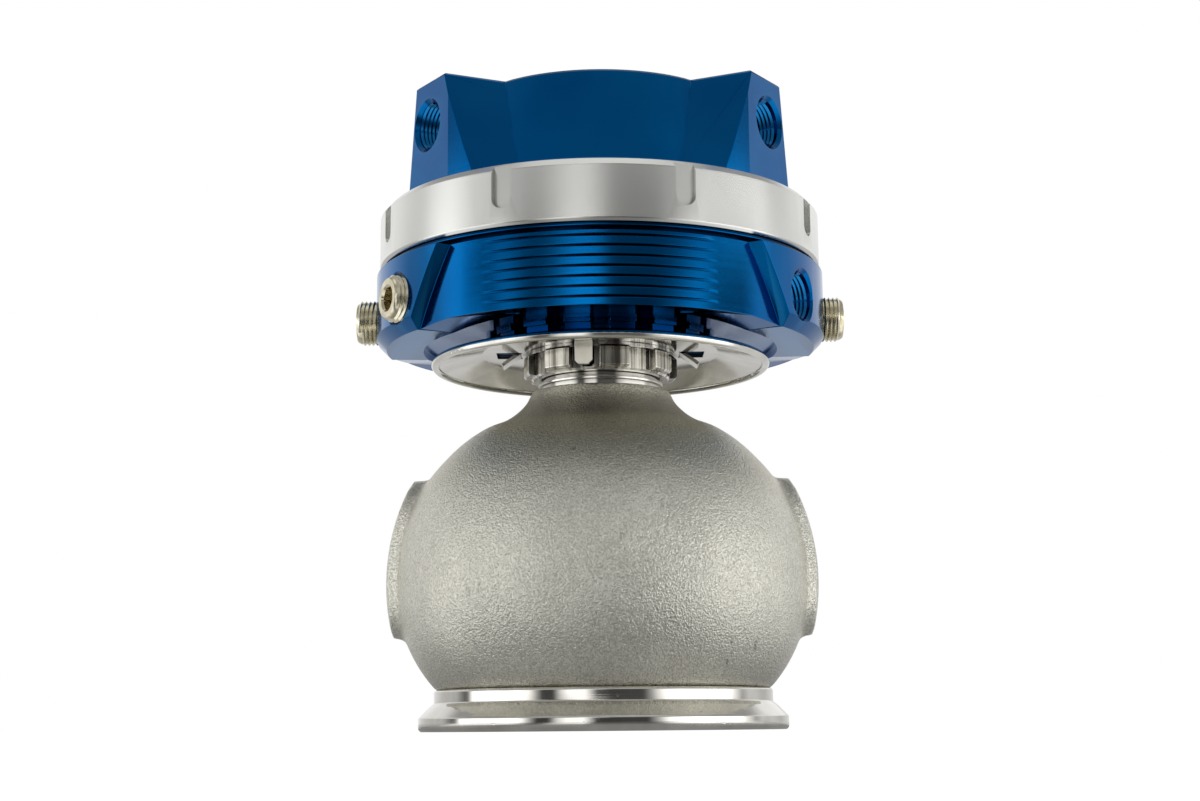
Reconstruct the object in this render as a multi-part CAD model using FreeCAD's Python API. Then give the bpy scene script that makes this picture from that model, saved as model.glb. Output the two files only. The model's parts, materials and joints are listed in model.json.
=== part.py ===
import FreeCAD, Part
import math
import os

# External exhaust wastegate with a diaphragm actuator on top of a cast valve body.
# Frame: millimetres, +Z up along the valve stem, origin at the centre of the inlet flange face.
# The front of the product looks to -Y and the outlet leaves to +Y.

V = FreeCAD.Vector
UP = V(0, 0, 1)

# Clamp flanges of the inlet and the outlet
inlet_bore_r = 31.6
inlet_neck_wall = 6.0
inlet_rim_step = 3.4
flange_face_t = 3.4
flange_cone_t = 2.2
flange_edge = 0.5
neck_band_t = 3.4
weld_step = 0.5
outlet_bore_r = 28.0
outlet_neck_wall = 5.0
outlet_rim_step = 3.5
outlet_rise = 9.0
outlet_stand = 12.0
duct_step = 0.6

# Cast valve body: heights are taken from the centre of the ball
sphere_r = 46.0
sphere_rise = 23.6
wall = 4.6
shoulder_r = 35.2
shoulder_rise = 27.4
hip_r = 26.2
hip_rise = 34.5
waist_flare = 0.6
waist_drop = 2.4
cast_neck_r = 16.0
neck_rise = 43.4
neck_edge = 0.6
lower_sag = 2.5
upper_sag = 3.0
shoulder_sag = 0.5
waist_sag = 1.0
roof_lift = 1.5
roof_r = 22.0
roof_slope_r = 27.0
roof_slope_drop = 2.0
guide_boss_r = 12.0
guide_boss_drop = 12.0
guide_boss_root = 3.0
guide_proud = 3.0
pad_height = 2.3
pad_half_width = 9.5
pad_low = 12.1
pad_high = 23.4

# Spigot on top of the cast neck, held by the locking collar
spigot_r = 13.3
spigot_lip_r = 14.2
spigot_lip_t = 0.7
spigot_lip_rise = 1.0
spigot_len = 4.4
spigot_head_r = 14.7
spigot_head_t = 2.8
spigot_edge = 0.4

# Locking collar
collar_r = 17.0
collar_lug_r = 17.5
collar_recess_r = 15.7
collar_lug_t = 5.0
collar_rim_t = 1.0
collar_hook_t = 1.6
collar_thread_r = 16.8
collar_thread_len = 5.6
collar_lugs = 8
collar_lug_deg = 22.0
collar_turn_deg = 10.6
collar_fit = 0.15
hook_gap = 0.1

# Heat shield
shield_t = 0.8
shield_r = 37.6
shield_flat_r = 27.0
shield_drop = 3.0
shield_bead_r = 0.95
window_inner_r = 17.9
window_outer_r = 23.6
window_width = 7.2
tang_width = 5.0
tang_reach = 4.6
tang_drop = 2.9
tab_width = 4.0
tab_drop = 5.2
tab_gap = 0.25
tab_corner = 0.85

# Actuator base
base_r = 48.0
base_gap = 0.6
base_height = 15.9
base_wall = 7.0
base_floor_t = 3.8
base_fillet = 1.5
dish_rise = 2.1
lobe_proud = 3.0
lobe_drop = 1.0
lobe_mid_deg = 75.0
lobe_chamfer = 2.4
lobe_recess_r = 40.3
flank_plan = 0.403
flank_front = 0.854
flank_lean = 0.552
flank_foot_deg = 52.6
foot_half = 16.0
foot_run = 15.0
undercut_depth = 1.4
undercut_t = 0.6
rim_proud = 1.3
rim_t = 0.7
thread_proud = 0.3
base_thread_len = 4.1
thread_edge = 0.5
groove_count = 7
groove_pitch = 2.16
groove_width = 0.5
groove_first = 1.1
groove_depth = 1.2
groove_bow_r = 56.9
standoff_r = 26.0
standoff_step = 1.0
standoff_step_t = 1.9
standoff_blocks = 16
standoff_block_deg = 13.0
pilot_gap = 0.1
boss_top_r = 11.0
boss_rise = 1.2

# Ports and their plugs
port_drop = 9.4
port_r = 5.2
port_chamfer = 0.8
port_depth = 8.2
passage_r = 2.4
front_port_deg = 60.0
side_port_deg = 90.0
cap_port_drop = 10.1
cap_port_deg = 57.0
plug_clearance = 0.05
plug_len = 8.6
front_plug_proud = 2.2
side_plug_proud = 4.5
plug_edge = 0.6
hex_across = 5.0
hex_depth = 4.6

# Lock ring
ring_wall = 2.0
ring_height = 13.7
ring_lip_t = 3.6
ring_lip_gap = 0.4
ring_fit = 0.15
ring_edge = 0.6
ring_bevel_w = 1.8
ring_bevel_h = 1.9
ring_line = 0.35
notch_count = 8
notch_width = 4.5
notch_len = 9.8
notch_depth = 1.35
notch_turn_deg = -1.45

# Cap
cap_shoulder_in = 0.5
cap_step = 1.8
cap_shelf_rise = 1.0
cap_rise = 24.1
cap_crown_r = 32.3
cap_draft_deg = 9.9
cap_side_in = 5.5
cap_side_draft_deg = 4.4
cap_flat_in = 1.0
cap_edge = 0.6
pocket_apex = 15.1
pocket_lean = 0.3876
pocket_spread = 0.472
cap_ceiling_t = 4.2
cap_wall = 4.0
stop_rise = 6.0
stop_slope = 1.0

# Diaphragm, piston and clamp plates
sheet_t = 1.0
bead_t = 1.6
bead_in = 0.7
bead_land = 2.0
sheet_fold_gap = 0.8
sheet_root_gap = 1.1
plate_in = 2.8
plate_t = 1.5
plate_gap = 0.3
piston_gap = 4.2
piston_floor_t = 2.6
piston_wall = 2.2
centring_t = 2.4
centring_gap = 0.6
hole_gap = 0.1
lift = 12.5

# Valve, seat and guide
valve_overlap = 0.4
seat_step = 0.8
seat_wall = 5.0
seat_t = 5.4
seat_cone_h = 2.4
seat_relief = 0.6
valve_rim_t = 2.4
valve_face_t = 0.6
tulip_rise = 18.6
tulip_sag = 6.1
stem_r = 5.0
stem_thread_r = 3.95
stem_edge = 0.6
guide_r = 8.0
guide_fit = 0.04
bush_r = 8.0
bush_len = 5.0
stem_hole_gap = 0.6
seal_r = 7.6
seal_t = 2.4
clip_t = 1.0
clip_land = 0.4
clip_groove = 0.8
clip_open_deg = 26.0
gasket_t = 1.0

# Springs
outer_wire = 4.2
outer_mean_r = 23.6
outer_turns = 4.6
inner_wire = 3.0
inner_mean_r = 14.4
inner_turns = 5.4
spring_seat_gap = 0.05

# Fastening of the stem
washer_t = 1.2
washer_r = 8.0
nut_across = 13.0
nut_t = 6.5
nut_chamfer = 2.4
thread_end = 1.4

# Heights that follow from the sizes above, from the inlet upwards
neck_z = flange_face_t + flange_cone_t + neck_band_t
seat_bottom = neck_z
seat_top = seat_bottom + seat_t
sphere_z = neck_z + sphere_rise
outlet_height = sphere_z + outlet_rise
shoulder_z = sphere_z + shoulder_rise
hip_z = sphere_z + hip_rise
roof_z = shoulder_z + roof_lift
guide_boss_floor = roof_z - guide_boss_drop
cast_neck_top = sphere_z + neck_rise
spigot_head_z = cast_neck_top + spigot_len
spigot_top = spigot_head_z + spigot_head_t
pilot_bottom = spigot_top + gasket_t
hook_top = spigot_head_z - hook_gap
collar_bottom = hook_top - collar_hook_t
lug_top = collar_bottom + collar_lug_t
collar_top = lug_top + collar_rim_t
collar_thread_top = collar_top + collar_thread_len
shield_z = collar_top
standoff_bottom = shield_z + shield_t
base_bottom = standoff_bottom + base_gap
lobe_bottom = base_bottom - lobe_drop
dish_top = base_bottom + dish_rise
chamber_floor = dish_top + base_floor_t
base_top = base_bottom + base_height
port_z = base_top - port_drop
ring_bottom = base_top + undercut_t + rim_t
base_rim_top = ring_bottom + base_thread_len
boss_top = chamber_floor + boss_rise
clip_top = boss_top - clip_land
seal_top = clip_top - clip_t
bush_top = seal_top - seal_t
sheet_bottom = boss_top + plate_gap + plate_t
piston_floor = sheet_bottom + sheet_t
spring_floor = piston_floor + piston_floor_t
nut_bottom = spring_floor + washer_t
ring_top = ring_bottom + ring_height
lip_z = ring_top - ring_lip_t
cap_bottom = base_rim_top + bead_t
cap_stop_z = cap_bottom + stop_rise
piston_rim = cap_stop_z - lift
cap_shelf = ring_top + cap_shelf_rise
cap_top = cap_shelf + cap_rise
cap_port_z = cap_top - cap_port_drop
cap_inner_top = cap_top - cap_ceiling_t

# Radii and reaches that follow
inlet_neck_r = inlet_bore_r + inlet_neck_wall
inlet_flange_r = inlet_neck_r + inlet_rim_step
outlet_neck_r = outlet_bore_r + outlet_neck_wall
outlet_flange_r = outlet_neck_r + outlet_rim_step
seat_outer_r = inlet_bore_r + seat_step
seat_inner_r = seat_outer_r - seat_wall
valve_r = seat_inner_r + seat_cone_h + valve_overlap
outlet_reach = sphere_r + outlet_stand
duct_end = outlet_reach - neck_z
collar_bore_r = spigot_head_r + collar_fit
pilot_boss_r = spigot_head_r - pilot_gap
collar_hole_r = collar_thread_r + hole_gap
lobe_r = base_r + lobe_proud
chamber_r = base_r - base_wall
base_thread_r = base_r + thread_proud
ring_bore_r = base_thread_r + ring_fit
ring_r = base_thread_r + ring_wall
cap_shoulder_r = base_thread_r - cap_shoulder_in
cap_r = cap_shoulder_r - cap_step
cap_side_x = cap_r - cap_side_in
cap_flat_r = cap_r - cap_flat_in
cap_draft = math.tan(math.radians(cap_draft_deg))
piston_r = chamber_r - piston_gap
plate_r = piston_r - plate_in
stem_hole_r = stem_thread_r + hole_gap
stem_bore_r = stem_r + guide_fit
FAR = 4 * base_r


def solid(shape):
    """Return the single clean solid of a boolean result."""
    clean = shape.removeSplitter()
    return clean.Solids[0] if len(clean.Solids) == 1 else clean


def turned(points):
    """Revolve a closed outline of (radius, height) points about the stem axis."""
    wire = Part.makePolygon([V(r, 0, z) for r, z in points + points[:1]])
    return Part.Face(wire).revolve(V(0, 0, 0), UP, 360)


def turned_edges(edges):
    """Revolve a closed outline made of ready edges in the XZ plane."""
    wire = Part.Wire(Part.__sortEdges__(edges))
    return Part.Face(wire).revolve(V(0, 0, 0), UP, 360)


def disc(radius, z0, z1):
    return Part.makeCylinder(radius, z1 - z0, V(0, 0, z0))


def tube(outer, inner, z0, z1):
    return disc(outer, z0, z1).cut(disc(inner, z0 - 1, z1 + 1))


def mirrored(shape, sign):
    """Shape as it is for sign 1, or its mirror image across the YZ plane for sign -1."""
    return shape if sign > 0 else shape.mirror(V(0, 0, 0), V(1, 0, 0))


def heading(degrees):
    """Unit vector in plan, measured from the front (-Y) towards +X."""
    a = math.radians(degrees)
    return V(math.sin(a), -math.cos(a), 0)


def line(a, b):
    return Part.LineSegment(V(a[0], 0, a[1]), V(b[0], 0, b[1])).toShape()


def bow(a, b, sag):
    """Arc from a to b that swells by sag to the right of the way from a to b."""
    dr, dz = b[0] - a[0], b[1] - a[1]
    length = math.hypot(dr, dz)
    mid_r = (a[0] + b[0]) / 2 + sag * dz / length
    mid_z = (a[1] + b[1]) / 2 - sag * dr / length
    return Part.Arc(V(a[0], 0, a[1]), V(mid_r, 0, mid_z), V(b[0], 0, b[1])).toShape()


def hex_prism(across, base, axis, depth):
    """Hexagonal prism on base, extruded along axis."""
    side = axis.cross(UP)
    if side.Length < 0.1:
        side = V(1, 0, 0)
    side.normalize()
    other = axis.cross(side)
    corner = across / math.sqrt(3)
    pts = []
    for i in range(7):
        a = math.radians(60 * i)
        pts.append(base + side * (corner * math.cos(a)) + other * (corner * math.sin(a)))
    return Part.Face(Part.makePolygon(pts)).extrude(axis * depth)


def flange_ring(outer, neck, bore, length):
    """Clamp flange about Z: flat face at z = 0, back slope, short neck to the weld."""
    slope_top = flange_face_t + flange_cone_t
    ring = turned([
        (bore, 0), (outer - flange_edge, 0), (outer, flange_edge), (outer, flange_face_t - flange_edge),
        (outer - flange_edge, flange_face_t), (neck + 0.3, slope_top - 0.15), (neck, slope_top + 0.15),
        (neck, length), (bore, length)])
    return ring


def make_inlet_flange():
    return flange_ring(inlet_flange_r, inlet_neck_r, inlet_bore_r, neck_z)


def make_outlet_flange():
    ring = flange_ring(outlet_flange_r, outlet_neck_r, outlet_bore_r, neck_z)
    ring.rotate(V(0, 0, 0), V(1, 0, 0), 90)
    ring.translate(V(0, outlet_reach, outlet_height))
    return ring


def body_outline():
    """Outer form of the casting: ball, sloping shoulder and waisted neck."""
    low = (inlet_neck_r - weld_step, neck_z)
    belly = (sphere_r, sphere_z)
    upper = (shoulder_r, shoulder_z)
    hip = (hip_r, hip_z)
    waist = (cast_neck_r + waist_flare, cast_neck_top - waist_drop)
    top = (cast_neck_r, cast_neck_top - neck_edge)
    top_in = (cast_neck_r - neck_edge, cast_neck_top)
    edges = [
        line((0, neck_z), low),
        bow(low, belly, lower_sag),
        bow(belly, upper, upper_sag),
        bow(upper, hip, shoulder_sag),
        bow(hip, waist, -waist_sag),
        line(waist, top),
        line(top, top_in),
        line(top_in, (0, cast_neck_top)),
        line((0, cast_neck_top), (0, neck_z))]
    return turned_edges(edges)


def body_cavity():
    """Hollow of the casting, from the pocket of the seat up to the roof."""
    belly = (sphere_r - wall, sphere_z)
    pocket = (seat_outer_r, neck_z - 1)
    mouth = (seat_outer_r, seat_top + seat_relief)
    slope = (roof_slope_r, roof_z - roof_slope_drop)
    edges = [
        line((0, neck_z - 1), pocket),
        line(pocket, mouth),
        bow(mouth, belly, lower_sag),
        bow(belly, slope, upper_sag + wall / 3),
        line(slope, (roof_r, roof_z)),
        line((roof_r, roof_z), (0, roof_z)),
        line((0, roof_z), (0, neck_z - 1))]
    return turned_edges(edges)


def side_pad(sign):
    """Raised cast pad with round ends on the flank of the ball."""
    low_z = sphere_z - pad_low + pad_half_width
    high_z = sphere_z + pad_high - pad_half_width
    out = V(sign, 0, 0)
    outline = Part.makeBox(FAR, 2 * pad_half_width, high_z - low_z, V(0, -pad_half_width, low_z))
    outline = mirrored(outline, sign)
    for z in (low_z, high_z):
        outline = outline.fuse(Part.makeCylinder(pad_half_width, FAR, V(0, 0, z), out))
    ball = Part.makeSphere(sphere_r + pad_height, V(0, 0, sphere_z))
    core = Part.makeSphere(sphere_r - wall / 2, V(0, 0, sphere_z))
    return outline.common(ball).cut(core)


def guide_boss():
    """Boss that hangs from the roof of the hollow and holds the stem guide."""
    root_z = roof_z + guide_boss_root / 2
    return turned([
        (0, guide_boss_floor), (guide_boss_r - 1, guide_boss_floor), (guide_boss_r, guide_boss_floor + 1.2),
        (guide_boss_r + guide_boss_root, root_z), (0, root_z)])


def spigot():
    """Machined spigot on the cast neck, with a lip and a head for the collar."""
    low_z = cast_neck_top + spigot_lip_rise
    return turned([
        (0, cast_neck_top - 1), (spigot_r, cast_neck_top - 1), (spigot_r, low_z),
        (spigot_lip_r, low_z), (spigot_lip_r, low_z + spigot_lip_t), (spigot_r, low_z + spigot_lip_t),
        (spigot_r, spigot_head_z), (spigot_head_r, spigot_head_z),
        (spigot_head_r, spigot_top - spigot_edge), (spigot_head_r - spigot_edge, spigot_top),
        (0, spigot_top)])


def make_valve_body():
    start = V(0, sphere_r / 2, outlet_height)
    duct = Part.makeCylinder(outlet_neck_r - weld_step, duct_end - start.y, start, V(0, 1, 0))
    shell = body_outline().fuse(duct).fuse(side_pad(1)).fuse(side_pad(-1))
    bore = Part.makeCylinder(outlet_bore_r + duct_step, duct_end + 1, V(0, 0, outlet_height), V(0, 1, 0))
    bore = bore.cut(disc(guide_boss_r + guide_boss_root, guide_boss_floor, FAR))
    shell = shell.cut(body_cavity().cut(guide_boss())).cut(bore)
    shell = shell.fuse(spigot())
    return solid(shell.cut(disc(guide_r, sphere_z, spigot_top + 1)))


def make_valve_seat():
    """Pressed seat ring with a conical face that the valve closes on."""
    cone_r = seat_inner_r + seat_cone_h
    return turned([
        (seat_inner_r, seat_bottom), (seat_outer_r, seat_bottom),
        (seat_outer_r, seat_top - 0.4), (seat_outer_r - 0.4, seat_top),
        (cone_r, seat_top), (seat_inner_r, seat_top - seat_cone_h)])


def make_valve_guide():
    bottom = guide_boss_floor - guide_proud
    return turned([(stem_bore_r, bottom), (guide_r - 0.6, bottom), (guide_r, bottom + 0.6),
                   (guide_r, spigot_top), (stem_bore_r, spigot_top)])


def make_body_gasket():
    return tube(pilot_boss_r - 0.2, guide_r - 0.8, spigot_top, spigot_top + gasket_t)


def make_locking_collar():
    """Union collar: hooks under the spigot head and screws into the base."""
    hook_r = spigot_r + collar_fit
    low = collar_bottom + 0.4
    root = collar_recess_r - 0.8
    body = turned([
        (hook_r, collar_bottom + 0.3), (hook_r + 0.3, collar_bottom), (collar_recess_r - 0.4, collar_bottom),
        (collar_recess_r, low), (collar_recess_r, lug_top), (collar_r, lug_top), (collar_r, collar_top),
        (collar_thread_r, collar_top), (collar_thread_r, collar_thread_top - thread_edge),
        (collar_thread_r - thread_edge, collar_thread_top), (collar_bore_r, collar_thread_top),
        (collar_bore_r, hook_top), (hook_r, hook_top)])
    lugs = turned([
        (root, low), (collar_lug_r - 0.5, low), (collar_lug_r, low + 0.5), (collar_lug_r, lug_top - 0.2),
        (collar_lug_r - 0.5, lug_top + 0.3), (root, lug_top + 0.3)])
    pitch = 360.0 / collar_lugs
    for i in range(collar_lugs):
        mid = collar_turn_deg + (i + 0.5) * pitch
        lugs = lugs.cut(sector(mid, pitch - collar_lug_deg, FAR, collar_bottom - 1, lug_top + 2))
    return solid(body.fuse(lugs))


def sector(mid_deg, width_deg, radius, z0, z1):
    """Wedge of a cylinder, centred on a heading from the front."""
    s = Part.makeCylinder(radius, z1 - z0, V(0, 0, z0), UP, width_deg)
    s.rotate(V(0, 0, 0), UP, mid_deg - 90 - width_deg / 2)
    return s


def make_heat_shield():
    """Thin pressed dish with a rolled rim, two lanced windows and a lock tab."""
    top = shield_z + shield_t
    rim_z = shield_z - shield_drop
    dish = turned([
        (collar_hole_r, shield_z), (shield_flat_r, shield_z), (shield_r, rim_z),
        (shield_r, rim_z + shield_t), (shield_flat_r + shield_t / 2, top), (collar_hole_r, top)])
    bead = Part.makeTorus(shield_r, shield_bead_r, V(0, 0, rim_z + shield_t / 2))
    dish = dish.fuse(bead)
    for sign in (-1, 1):
        window = Part.makeBox(window_outer_r - window_inner_r, window_width, 3 * shield_t,
                              V(window_inner_r, -window_width / 2, shield_z - shield_t))
        dish = dish.cut(mirrored(window, sign)).fuse(mirrored(tang(), sign))
    dish = dish.fuse(lock_tab())
    return solid(dish)


def tang():
    """Strip lanced out of the shield beside the collar and bent down."""
    root = window_inner_r - 0.3
    tip = root + tang_reach
    low = shield_z - tang_drop
    top = shield_z + shield_t
    path = [(root, shield_z), (root + 0.5, shield_z), (tip, low), (tip + 0.4, low + 0.7),
            (root + 0.9, top), (root, top)]
    pts = [V(x, -tang_width / 2, z) for x, z in path]
    return Part.Face(Part.makePolygon(pts + pts[:1])).extrude(V(0, tang_width, 0))


def lock_tab():
    """Tab bent down from the shield into the gap between two collar lugs."""
    half = tab_width / 2
    low = shield_z - tab_drop
    face = [(-half, shield_z + shield_t), (-half, low + tab_corner), (tab_corner - half, low),
            (half - tab_corner, low), (half, low + tab_corner), (half, shield_z + shield_t)]
    pts = [V(collar_r + tab_gap, y, z) for y, z in face]
    slab = Part.Face(Part.makePolygon(pts + pts[:1])).extrude(V(shield_t, 0, 0))
    slab.rotate(V(0, 0, 0), UP, collar_turn_deg - 180.0 / collar_lugs - 90)
    return slab


def side_wall_prism(deg_sign):
    """Everything in front of the leaning side wall of one lobe of the base."""
    n = V(-deg_sign * flank_plan, -flank_front, -flank_lean)
    n.normalize()
    foot = heading(deg_sign * flank_foot_deg) * lobe_r + UP * (lobe_bottom + lobe_chamfer)
    block = Part.makeBox(2 * FAR, 2 * FAR, FAR, V(-FAR, -FAR, 0))
    block.Placement = FreeCAD.Placement(n * n.dot(foot), FreeCAD.Rotation(UP, n))
    return block


def base_lobe(sign):
    """Port lobe of the base: a round block with leaning flanks and a bevelled foot."""
    block = turned([
        (chamber_r, lobe_bottom), (lobe_r - lobe_chamfer, lobe_bottom),
        (lobe_r, lobe_bottom + lobe_chamfer), (lobe_r, base_top), (chamber_r, base_top)])
    block = block.cut(disc(lobe_recess_r, lobe_bottom - 1, dish_top))
    keep = sector(sign * lobe_mid_deg, 90, FAR, lobe_bottom - 1, base_top + 1)
    block = block.common(keep)
    front = side_wall_prism(sign)
    back = front.mirror(V(0, 0, 0), V(0, 1, 0))
    turn = 2 * lobe_mid_deg - 180
    back.rotate(V(0, 0, 0), UP, sign * turn)
    return block.cut(front).cut(back)


def base_foot(sign):
    """Shallow ramped foot that carries the lobe below the plane of the base."""
    rise = lobe_drop + 0.5
    top = rise + dish_rise
    outer = foot_half + foot_run
    pts = [V(-outer, 0, rise), V(-foot_half, 0, 0), V(foot_half, 0, 0), V(outer, 0, rise),
           V(outer, 0, top), V(-outer, 0, top)]
    ramp = Part.Face(Part.makePolygon(pts + pts[:1])).extrude(V(0, -FAR, 0))
    ramp.translate(V(0, 0, lobe_bottom))
    ramp.rotate(V(0, 0, 0), UP, sign * lobe_mid_deg)
    return ramp.common(tube(base_r, lobe_recess_r, lobe_bottom - 1, chamber_floor))


def make_actuator_base():
    rim_z = base_top + undercut_t
    undercut_r = base_r - undercut_depth
    rim_r = base_r + rim_proud
    body = turned([
        (pilot_boss_r, dish_top), (standoff_r, dish_top), (base_r, base_bottom), (base_r, base_top),
        (undercut_r, base_top), (undercut_r, rim_z), (rim_r, rim_z), (rim_r, ring_bottom),
        (base_thread_r, ring_bottom), (base_thread_r, base_rim_top - thread_edge),
        (base_thread_r - thread_edge, base_rim_top), (chamber_r, base_rim_top),
        (chamber_r, chamber_floor + base_fillet), (chamber_r - base_fillet, chamber_floor),
        (pilot_boss_r, chamber_floor)])
    for sign in (-1, 1):
        body = body.fuse(base_foot(sign)).fuse(base_lobe(sign))
    body = body.fuse(standoff_ring())
    body = body.fuse(disc(pilot_boss_r, pilot_bottom, chamber_floor))
    body = body.fuse(disc(boss_top_r, chamber_floor - 1, boss_top))
    body = body.cut(tube(collar_hole_r, pilot_boss_r, standoff_bottom - 1, collar_thread_top + 0.3))
    body = body.cut(cooling_grooves()).cut(stem_bores())
    for deg in base_port_headings():
        body = body.cut(port_cut(deg, lobe_r, port_z, chamber_r))
    return solid(body)


def stem_bores():
    """Stepped bore of the boss for the stem, its bush, its seal and the clip."""
    bores = disc(stem_r + stem_hole_gap, pilot_bottom - 1, boss_top + 1)
    bores = bores.fuse(disc(bush_r, bush_top - bush_len, bush_top))
    bores = bores.fuse(disc(seal_r, bush_top, boss_top + 1))
    return bores.fuse(disc(seal_r + clip_groove, seal_top, clip_top))


def base_port_headings():
    return [-side_port_deg, -front_port_deg, front_port_deg, side_port_deg]


def standoff_ring():
    """Ring of blocks that stands on the heat shield."""
    top = dish_top + 1.0
    step_r = standoff_r - standoff_step
    step_z = standoff_bottom + standoff_step_t
    core = disc(collar_hole_r + 2.0, standoff_bottom - 2, top)
    ring = turned([
        (collar_hole_r, standoff_bottom), (step_r, standoff_bottom), (step_r, step_z),
        (standoff_r, step_z), (standoff_r, top), (collar_hole_r, top)])
    pitch = 360.0 / standoff_blocks
    for i in range(standoff_blocks):
        slot = sector(i * pitch, pitch - standoff_block_deg, FAR, standoff_bottom - 1, dish_top)
        ring = ring.cut(slot.cut(core))
    return ring


def cooling_grooves():
    """Shallow turned grooves across the front, running out where the wall turns away."""
    cuts = []
    for i in range(groove_count):
        z = base_top - groove_first - i * groove_pitch
        cuts.append(tube(base_r + 1, chamber_r, z - groove_width / 2, z + groove_width / 2))
    block = cuts[0].multiFuse(cuts[1:])
    front = Part.makeBox(2 * base_r, FAR, FAR, V(-base_r, -FAR - chamber_r / 2, 0))
    back_y = groove_bow_r - (base_r - groove_depth)
    floor = Part.makeCylinder(groove_bow_r, FAR, V(0, back_y, 0))
    return block.common(front).cut(floor)


def port_cut(deg, face_r, z, inner_r):
    """Tapped port: mouth chamfer, threaded length and a narrow passage to the chamber."""
    axis = heading(deg)
    mouth = Part.makeCylinder(port_r, port_depth + 5, axis * (face_r - port_depth) + UP * z, axis)
    lead = Part.makeCone(port_r, port_r + port_chamfer, port_chamfer,
                         axis * (face_r - port_chamfer) + UP * z, axis)
    passage = Part.makeCylinder(passage_r, face_r - inner_r + 4, axis * (inner_r - 3) + UP * z, axis)
    return mouth.fuse(lead).fuse(passage)


def make_plug(deg, proud):
    """Threaded plug with a hexagon socket, standing a little proud of the lobe."""
    axis = heading(deg)
    outer = lobe_r + proud
    r = port_r - plug_clearance
    start = axis * (outer - plug_len) + UP * port_z
    body = Part.makeCylinder(r, plug_len - plug_edge, start, axis)
    edge = Part.makeCone(r, r - plug_edge, plug_edge, axis * (outer - plug_edge) + UP * port_z, axis)
    body = body.fuse(edge)
    body = body.cut(hex_prism(hex_across, axis * (outer - hex_depth) + UP * port_z, axis, hex_depth + 1))
    return solid(body)


def make_lock_ring():
    bevel_z = ring_top - ring_bevel_h
    lip_r = cap_r + ring_lip_gap
    ring = turned([
        (ring_bore_r + 0.4, ring_bottom), (ring_r - ring_edge, ring_bottom),
        (ring_r, ring_bottom + ring_edge), (ring_r, bevel_z),
        (ring_r - ring_line, bevel_z), (ring_r - ring_line, bevel_z + ring_line),
        (ring_r - ring_bevel_w, ring_top), (lip_r, ring_top), (lip_r, lip_z),
        (ring_bore_r, lip_z), (ring_bore_r, ring_bottom + 0.4)])
    for i in range(notch_count):
        deg = notch_turn_deg + 360.0 / notch_count * (i + 0.5)
        ring = ring.cut(spanner_notch(deg))
    return solid(ring)


def spanner_notch(deg):
    axis = heading(deg)
    half = notch_width / 2
    bottom = ring_top - notch_len + half
    inner = ring_r - notch_depth
    side = axis.cross(UP)
    end = Part.makeCylinder(half, FAR, axis * inner + UP * bottom, axis)
    corner = axis * inner - side * half + UP * bottom
    face = Part.Face(Part.makePolygon([
        corner, corner + side * notch_width, corner + side * notch_width + UP * (notch_len + 2),
        corner + UP * (notch_len + 2), corner]))
    return end.fuse(face.extrude(axis * FAR))


def cap_pocket(sign):
    """Wedge between the lobes on one side of the cap, leaning back with the walls."""
    top = cap_top + 1
    apex_y = pocket_apex - pocket_lean
    edge_y = apex_y + FAR * pocket_spread
    pts = [V(0, -apex_y, top), V(-FAR, -edge_y, top), V(-FAR, -edge_y - FAR, top),
           V(FAR, -edge_y - FAR, top), V(FAR, -edge_y, top)]
    height = top - cap_shelf
    wedge = Part.Face(Part.makePolygon(pts + pts[:1])).extrude(V(0, -pocket_lean * height, -height))
    if sign > 0:
        wedge = wedge.mirror(V(0, 0, 0), V(0, 1, 0))
    return wedge


def crown():
    """Round middle of the cap, which the pockets leave standing."""
    foot_r = cap_crown_r + cap_draft * cap_rise
    return Part.makeCone(foot_r, cap_crown_r - cap_draft, cap_rise + 1, V(0, 0, cap_shelf))


def side_trim(sign):
    """Half space beyond the drafted side flat of the cap."""
    block = Part.makeBox(FAR, 2 * FAR, 2 * FAR, V(0, -FAR, -FAR))
    block.rotate(V(0, 0, 0), V(0, 1, 0), -cap_side_draft_deg)
    block.translate(V(cap_side_x, 0, cap_top))
    return mirrored(block.common(disc(FAR, cap_shelf, cap_top + 1)), sign)


def port_trim(deg):
    """Flat on a lobe of the cap, square to its port."""
    block = Part.makeBox(cap_r, 2 * cap_r, cap_rise + 1, V(cap_flat_r, -cap_r, cap_shelf))
    block.rotate(V(0, 0, 0), UP, deg - 90)
    return block


def cap_cavity():
    """Spring chamber, with the step that the piston meets at full lift."""
    top_r = cap_crown_r - cap_wall
    foot_r = top_r + cap_draft * (cap_inner_top - cap_stop_z)
    mouth_r = chamber_r + ring_lip_gap
    return turned([
        (0, cap_bottom - 1), (mouth_r, cap_bottom - 1), (mouth_r, cap_stop_z - stop_slope),
        (mouth_r - stop_slope, cap_stop_z), (foot_r, cap_stop_z), (top_r, cap_inner_top),
        (0, cap_inner_top)])


def make_cap():
    """Cap with a round crown, four lobes with flats, and leaning pockets between them."""
    body = turned([
        (0, cap_bottom), (cap_shoulder_r - 0.4, cap_bottom), (cap_shoulder_r, cap_bottom + 0.4),
        (cap_shoulder_r, lip_z), (cap_r, lip_z), (cap_r, cap_top), (0, cap_top)])
    body = body.cut(cap_pocket(-1).cut(crown())).cut(cap_pocket(1).cut(crown()))
    for sign in (-1, 1):
        body = body.cut(side_trim(sign))
    for deg in (cap_port_deg, -cap_port_deg, 180 - cap_port_deg, cap_port_deg - 180):
        body = body.cut(port_trim(deg))
    body = body.cut(cap_cavity())
    for deg in (-cap_port_deg, cap_port_deg):
        body = body.cut(port_cut(deg, cap_flat_r, cap_port_z, cap_crown_r - cap_wall))
    return broken_edges(solid(body), cap_edge, cap_top)


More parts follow.
